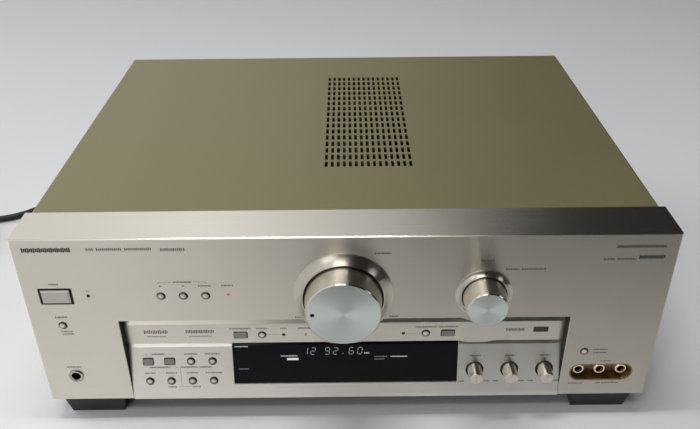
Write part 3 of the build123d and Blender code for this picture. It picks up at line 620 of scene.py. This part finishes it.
def display_dim_bars():
    """The fainter ones."""
    marks = Marks("display_dim_bars", lift=-0.7)
    marks.ticks("lower", 24.0, 51.3, (9.0,), 0.9, 0.7)
    marks.ticks("lower", 23.0, 49.3, (7.2,), 0.9, 0.7)
    marks.ticks("lower", -74.2, 42.5, (7.4,), 1.0, 0.8)
    return marks.piece(glowing("dim_glow", (0.45, 0.50, 0.55), 0.22))


def fascia_marks():
    """Rows of fine strokes and lines on the fascia, in place of all lettering."""
    marks = Marks("fascia_marks")
    face = "fascia"
    marks.ticks(face, -145.4, 150.2, (5.0, 16.5, 17.5), 2.2, 1.25)
    marks.ticks(face, -110.9, 149.6, (16.0,), 2.4, 1.35)
    marks.ticks(face, 177.3, 138.7, (7.5, 12.0), 1.5, 1.0)
    marks.ticks(face, 24, 145, (11,), 1.5, 0.95)
    marks.ticks(face, 117.5, 131.5, (9, 16), 1.6, 1.0)
    marks.ticks(face, 92, 138.5, (9,), 1.3, 0.9)
    for x in (-32, 32):
        marks.ticks(face, x, 93.4, (6,), 1.4, 0.9)
    marks.ticks(face, -192.7, 122.9, (6.5,), 1.4, 0.9)
    marks.ticks(face, -171.3, 117.1, (2.2,), 1.2, 0.9)
    marks.ticks(face, -193, 95.4, (8.5,), 1.5, 0.9)
    marks.ticks(face, -191.5, 83.0, (8,), 1.2, 0.8)
    marks.ticks(face, -191.0, 80.8, (8,), 1.2, 0.8)
    marks.ticks(face, -193, 50.6, (10.5,), 1.3, 0.9)
    marks.ticks(face, -107.8, 123.8, (12.5,), 1.5, 0.9)
    for side in (-1, 1):
        marks.line(face, (-107.8 + side * 7.4, 123.9), (-107.8 + side * 15.6, 123.9), 0.2)
        marks.line(face, (-107.8 + side * 15.6, 124.0), (-107.8 + side * 15.6, 122.6), 0.2)
    for x, width in ((-122.6, 1.6), (-107.6, 1.6), (-93.6, 8.5), (-78.6, 8.0)):
        marks.ticks(face, x, 120.6, (width,), 1.4, 0.85)
    marks.ticks(face, 177.5, 62.0, (10,), 1.3, 0.85)
    marks.ticks(face, 177.5, 59.0, (9.5,), 1.3, 0.85)
    marks.ticks(face, 182.5, 51.2, (7,), 1.1, 0.85)
    marks.ticks(face, 164.2, 30.2, (10,), 1.2, 0.85)
    marks.ticks(face, 187.0, 30.4, (3, 12), 1.2, 0.85)
    return marks.piece(ink("fascia_ink", (0.045, 0.041, 0.036)))


def bold_marks():
    """The heavier rows that stand where the fascia has its large marks."""
    marks = Marks("bold_marks")
    face = "fascia"
    marks.ticks(face, -192.0, 150.0, (31.5,), 3.6, 1.25, 0.8)
    marks.ticks(face, 198.2, 140.1, (17.0,), 3.2, 1.2, 0.75)
    marks.ticks(face, 190.0, 148.4, (32.0,), 2.4, 1.25)
    return marks.piece(ink("bold_ink", (0.018, 0.017, 0.015)))


def centre_marks():
    """Rows of strokes, joining lines and a plain plate on the strip and the lower fascia."""
    marks = Marks("centre_marks")
    face = "strip"
    c = CENTRE_X / MM
    for x, width in ((-73.2, 15), (-58.1, 8), (-43, 4.5), (-28.5, 9), (56.8, 15), (72.2, 14)):
        marks.ticks(face, c + x, 77.2, (width,), 1.4, 0.85)
    marks.line(face, (c - 54.0, 71.5), (c - 45, 71.5), 0.15)
    marks.line(face, (c + 43, 71.5), (c + 52.6, 71.5), 0.15)
    for x, width in ((-133.6, 17), (-102.8, 20)):
        marks.ticks(face, x, 75.0, (width,), 3.2, 1.2)
        marks.ticks(face, x, 70.8, (width * 0.8,), 1.0, 0.8)
    marks.ticks(face, 118, 74.0, (13.0,), 2.8, 1.0)
    marks.bar(face, 136, 74.0, 10.5, 4.6)
    face = "lower"
    for column in range(4):
        x = -142.0 + 15.3 * column
        marks.ticks(face, x + 0.4, 40.4, (8 if column < 3 else 12,), 1.2, 0.85)
    marks.ticks(face, -134.5, 55.4, (9,), 1.3, 0.85)
    marks.ticks(face, -111.4, 55.4, (9,), 1.3, 0.85)
    marks.ticks(face, -96.1, 55.4, (10.5,), 1.3, 0.85)
    for x in (-143.0, -126.0):
        marks.line(face, (x - 0.9, 55.4), (x + 0.9, 55.4), 0.25)
    marks.ticks(face, -134.0, 45.0, (15,), 1.3, 0.85)
    marks.ticks(face, -108.0, 45.0, (12, 9), 1.3, 0.85)
    marks.line(face, (-125.0, 45.0), (-119.5, 45.0), 0.15)
    marks.line(face, (-119.5, 45.0), (-119.5, 29.6), 0.15)
    marks.line(face, (-122.0, 29.6), (-112.0, 29.6), 0.15)
    for x in (-126.5, -109.0):
        marks.ticks(face, x, 29.2, (6,), 1.2, 0.85)
    for x in (91.4, 116.3, 141.4):
        marks.ticks(face, x, 51.8, (8,), 1.3, 0.85)
        marks.line(face, (x, 48.4), (x, 49.8), 0.5)
        marks.ticks(face, x - 9.2, 31.4, (4,), 1.2, 0.85)
        marks.ticks(face, x + 9.2, 31.4, (4,), 1.2, 0.85)
    return marks.piece(ink("centre_ink", (0.050, 0.045, 0.037)))


# ---------------------------------------------------------------- mains lead

CORD_RADIUS = 3.25
CORD_REST = CORD_RADIUS + 0.15
COIL_X, COIL_Y, COIL_MEAN = -408.0, 230.75, 37.5
LANE = 2 * CORD_RADIUS
POINTS_A_TURN = 16


def cord_points():
    """The lead's control points: the listed route, then the coil's turns, in millimetres from the fascia."""
    points = [
        (-178, 355, 44),
        (-178, 391, 44),
        (-192, 418, 16),
        (-222, 431, CORD_REST),
        (-262, 418, CORD_REST),
        (-291, 374, CORD_REST),
        (-310, 324, CORD_REST),
        (-341, 286, CORD_REST),
        (-375, 275.5, CORD_REST),
    ]
    lanes = (1, 0, -1, -1, 0, 1)
    layers = (0, 0, 0, 1, 1, 1)
    widen = 1 / math.cos(math.pi / POINTS_A_TURN)
    for i in range(len(lanes) * POINTS_A_TURN):
        turn, part = divmod(i / POINTS_A_TURN, 1)
        turn = int(turn)
        after = min(turn + 1, len(lanes) - 1)
        shift = max(0.0, (part - 0.72) / 0.28)
        lane = lanes[turn] + (lanes[after] - lanes[turn]) * shift
        layer = layers[turn] + (layers[after] - layers[turn]) * shift
        radius = (COIL_MEAN + lane * LANE) * widen
        angle = math.pi / 2 + 2 * math.pi * i / POINTS_A_TURN
        points.append((
            COIL_X + radius * math.cos(angle),
            COIL_Y + radius * math.sin(angle),
            CORD_REST + layer * LANE,
        ))
    end_y, end_z = COIL_Y + COIL_MEAN + LANE, CORD_REST + LANE
    points.append((COIL_X, end_y, end_z))
    points.append((COIL_X - 12, end_y, end_z))
    return points


def mains_lead():
    """The lead as one smooth curve."""
    curve = bpy.data.curves.new("mains_lead", "CURVE")
    curve.dimensions = "3D"
    curve.bevel_depth = CORD_RADIUS * MM
    curve.bevel_resolution = 6
    curve.use_fill_caps = True
    spline = curve.splines.new("NURBS")
    points = cord_points()
    spline.points.add(len(points) - 1)
    for point, (x, y, z) in zip(spline.points, points):
        point.co = (x * MM, FACE_Y + y * MM, z * MM, 1)
    spline.order_u = 3
    spline.use_endpoint_u = True
    spline.resolution_u = 10
    lead = bpy.data.objects.new("mains_lead", curve)
    bpy.context.collection.objects.link(lead)
    rubber = moulded("lead_rubber", (0.012, 0.012, 0.013), 0.42, 900.0, 0.08)
    curve.materials.append(rubber)
    wear("cord_bush", rubber)
    wear("mains_plug", rubber)
    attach(lead, "chassis")
    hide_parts("cord_run", "cord_coil")


# ---------------------------------------------------------------- room, light and camera

CAMERA_PLACE = (2.0, -406.1, 421.8)
CAMERA_AZIMUTH, CAMERA_FALL, CAMERA_ROLL = 0.13, 31.34, -0.51
CAMERA_LENS = 39.26
TABLE_FRONT = -0.37
WARM_WHITE = (1.0, 0.99, 0.97)


def camera():
    """The camera, a little above the receiver and close to it."""
    azimuth, fall, roll = (math.radians(a) for a in (CAMERA_AZIMUTH, CAMERA_FALL, CAMERA_ROLL))
    ahead = Vector((math.sin(azimuth) * math.cos(fall), math.cos(azimuth) * math.cos(fall), -math.sin(fall)))
    right = ahead.cross(Vector((0, 0, 1))).normalized()
    up = right.cross(ahead)
    level_right, level_up = right, up
    right = math.cos(roll) * level_right + math.sin(roll) * level_up
    up = math.cos(roll) * level_up - math.sin(roll) * level_right
    data = bpy.data.cameras.new("camera")
    data.lens = CAMERA_LENS
    data.sensor_width = 36.0
    data.clip_start = 0.01
    obj = bpy.data.objects.new("camera", data)
    bpy.context.collection.objects.link(obj)
    turn = Matrix((right, up, -ahead)).transposed().to_4x4()
    x, y, z = CAMERA_PLACE
    obj.matrix_world = Matrix.Translation((x * MM, FACE_Y + y * MM, z * MM)) @ turn
    bpy.context.scene.camera = obj


def floor():
    """A pale table top that curves up into a low backdrop."""
    mesh = bmesh.new()
    flat, bend, height = 2.6, 0.4, 0.5
    profile = [(TABLE_FRONT, 0.0), (flat, 0.0)]
    for i in range(1, 13):
        turn = math.pi / 2 * i / 12
        profile.append((flat + bend * math.sin(turn), bend * (1 - math.cos(turn))))
    profile.append((flat + bend, height))
    rows = [[mesh.verts.new((x, y, z)) for y, z in profile] for x in (-1.6, 1.6)]
    for i in range(len(profile) - 1):
        mesh.faces.new([rows[0][i], rows[1][i], rows[1][i + 1], rows[0][i + 1]])
    data = bpy.data.meshes.new("table")
    mesh.to_mesh(data)
    mesh.free()
    for polygon in data.polygons:
        polygon.use_smooth = True
    obj = bpy.data.objects.new("table", data)
    bpy.context.collection.objects.link(obj)
    g = Graph("table_paper")
    cloud = g.noise(3.0)
    g.set(Base_Color=g.tinted(cloud, (0.74, 0.745, 0.76), 0.02), Roughness=g.spread(cloud, 0.55, 0.65))
    data.materials.append(g.material)


def area_light(name, place, target, size, power, colour=(1, 1, 1)):
    """A soft rectangular light that faces a target."""
    data = bpy.data.lights.new(name, "AREA")
    data.shape = "RECTANGLE"
    data.size, data.size_y = size
    data.energy = power
    data.color = colour
    obj = bpy.data.objects.new(name, data)
    bpy.context.collection.objects.link(obj)
    obj.location = place
    obj.rotation_euler = (Vector(target) - Vector(place)).to_track_quat("-Z", "Y").to_euler()


def lights():
    """Lights above, in front and at both sides, and a low one for the bevels."""
    above = (-0.12, FACE_Y - 0.01, 1.45)
    area_light("above", above, (-0.12, FACE_Y, 0), (0.76, 0.09), 8.4, WARM_WHITE)
    area_light("front", (-0.14, -0.85, 1.25), (-0.1, FACE_Y, 0.1), (0.54, 0.16), 2.7, WARM_WHITE)
    area_light("window", (-1.6, 0.35, 0.9), (-0.2, 0.4, 0.0), (1.0, 1.0), 7, (1.0, 0.99, 0.98))
    area_light("low", (-0.44, -1.25, 0.70), (-0.1, FACE_Y, 0.08), (0.5, 0.3), 1.5, WARM_WHITE)
    area_light("side", (1.7, -0.7, 0.8), (0.4, -0.3, 0.0), (0.5, 0.5), 1.6, (0.98, 0.99, 1.0))


def room():
    """Soft light from all round, bright from the left and nearly dark from the right."""
    world = bpy.data.worlds.new("room")
    world.use_nodes = True
    tree = world.node_tree
    back = tree.nodes["Background"]
    place = tree.nodes.new("ShaderNodeTexCoord").outputs["Generated"]
    across = tree.nodes.new("ShaderNodeVectorMath")
    across.operation = "DOT_PRODUCT"
    across.inputs[1].default_value = (1.0, -0.2, 0.0)
    tree.links.new(place, across.inputs[0])
    ramp = tree.nodes.new("ShaderNodeMapRange")
    ramp.interpolation_type = "SMOOTHSTEP"
    tree.links.new(across.outputs["Value"], ramp.inputs["Value"])
    ramp.inputs["From Min"].default_value = -0.44
    ramp.inputs["From Max"].default_value = 0.14
    ramp.inputs["To Min"].default_value = 0.80
    ramp.inputs["To Max"].default_value = 0.02
    tree.links.new(ramp.outputs[0], back.inputs["Strength"])
    back.inputs["Color"].default_value = (0.97, 0.98, 1.0, 1)
    bpy.context.scene.world = world


def main():
    """Dresses the model and sets the scene."""
    camera()
    mains_lead()
    dress_front()
    dress_sockets()
    dress_case()
    dress_inside()
    display_figures()
    display_bars()
    display_dim_bars()
    fascia_marks()
    bold_marks()
    centre_marks()
    floor()
    lights()
    room()
    bpy.context.scene.view_settings.view_transform = "Standard"


main()
